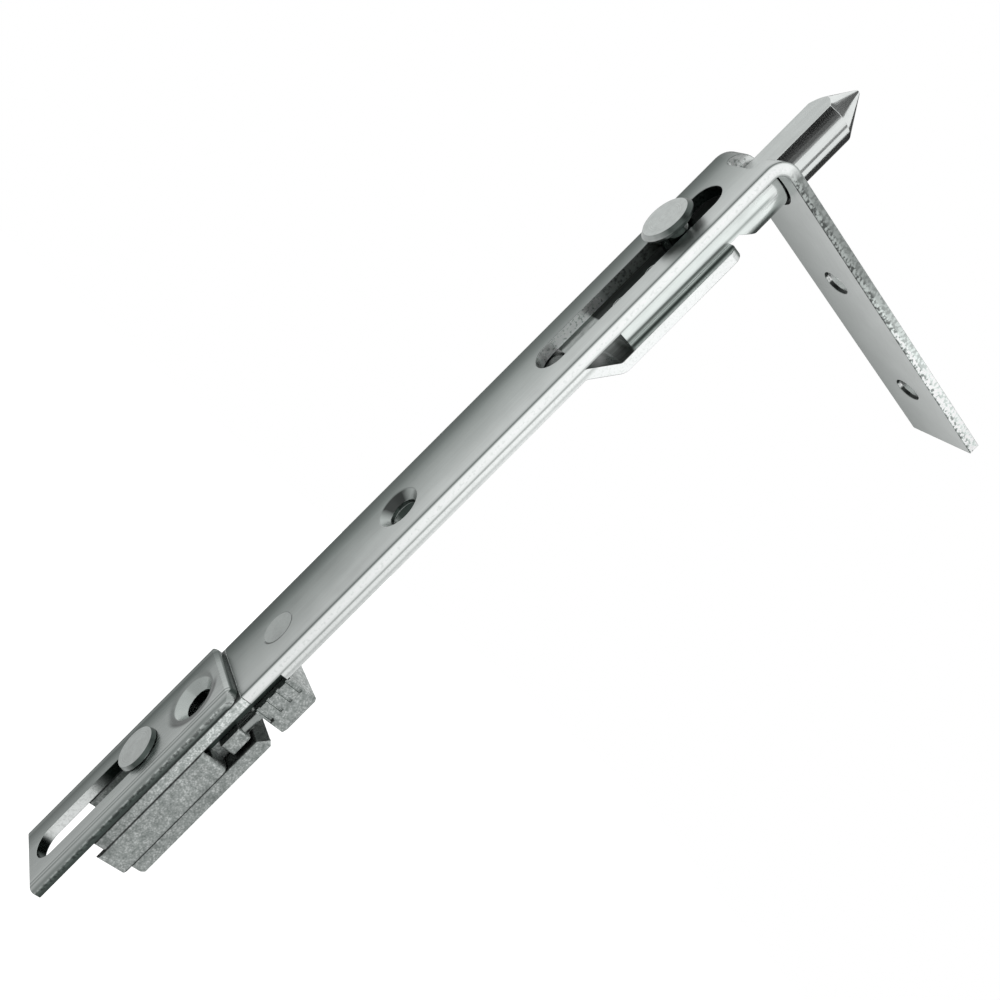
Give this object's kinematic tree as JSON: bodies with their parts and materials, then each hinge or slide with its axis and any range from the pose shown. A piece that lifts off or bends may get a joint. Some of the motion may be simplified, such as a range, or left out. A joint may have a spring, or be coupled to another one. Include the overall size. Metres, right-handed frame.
{
  "type": "window shootbolt",
  "caption": "Corner shootbolt for a window sash: bent face plate, pointed sliding bolt on a drive rod, mushroom pin and cast coupling.",
  "frame": {"origin": "edge of the sash corner: middle of the line where the plane of the face plate's back meets the plane of the leg's inner face", "axes": "+Z along the bolt, towards its point; +Y back into the sash, along the leg; -Y is the face plate's front; X across the plate's width"},
  "size_m": [0.016, 0.075, 0.1821],
  "materials": {
    "plate_steel": "satin zinc-plated steel strip",
    "bolt_steel": "drawn round bar, zinc plated, semi-bright",
    "rod_steel": "zinc-plated steel strip, semi-bright",
    "pin_steel": "turned steel, satin, fine rings on the head",
    "rivet_steel": "plain zinc-plated steel",
    "end_steel": "polished steel strip with rolled edges",
    "zinc_casting": "matt speckled zinc die casting"
  },
  "bodies": {
    "frame": {"face_plate": "plate_steel", "guide_block": "zinc_casting", "guide_rivet": "rivet_steel", "guide_washer": "rivet_steel", "end_plate": "end_steel", "housing_body": "zinc_casting", "housing_cover": "zinc_casting", "cover_screws": "rivet_steel", "locating_pins": "rivet_steel"},
    "drive": {"shootbolt": "bolt_steel", "drive_rod": "rod_steel", "tail_rivets": "rivet_steel", "mushroom_washer": "rivet_steel", "stop_pin": "pin_steel", "coupling_slide": "rod_steel"},
    "cam": {"mushroom_pin": "pin_steel"}
  },
  "joints": [
    {"name": "bolt_slide", "type": "slide", "parent": "frame", "child": "drive", "axis": [0, 0, 1], "range_m": [-0.02, 0]},
    {"name": "cam_turn", "type": "hinge", "parent": "drive", "child": "cam", "pos_m": [0, 0, -0.017], "axis": [0, 1, 0], "continuous": true}
  ]
}
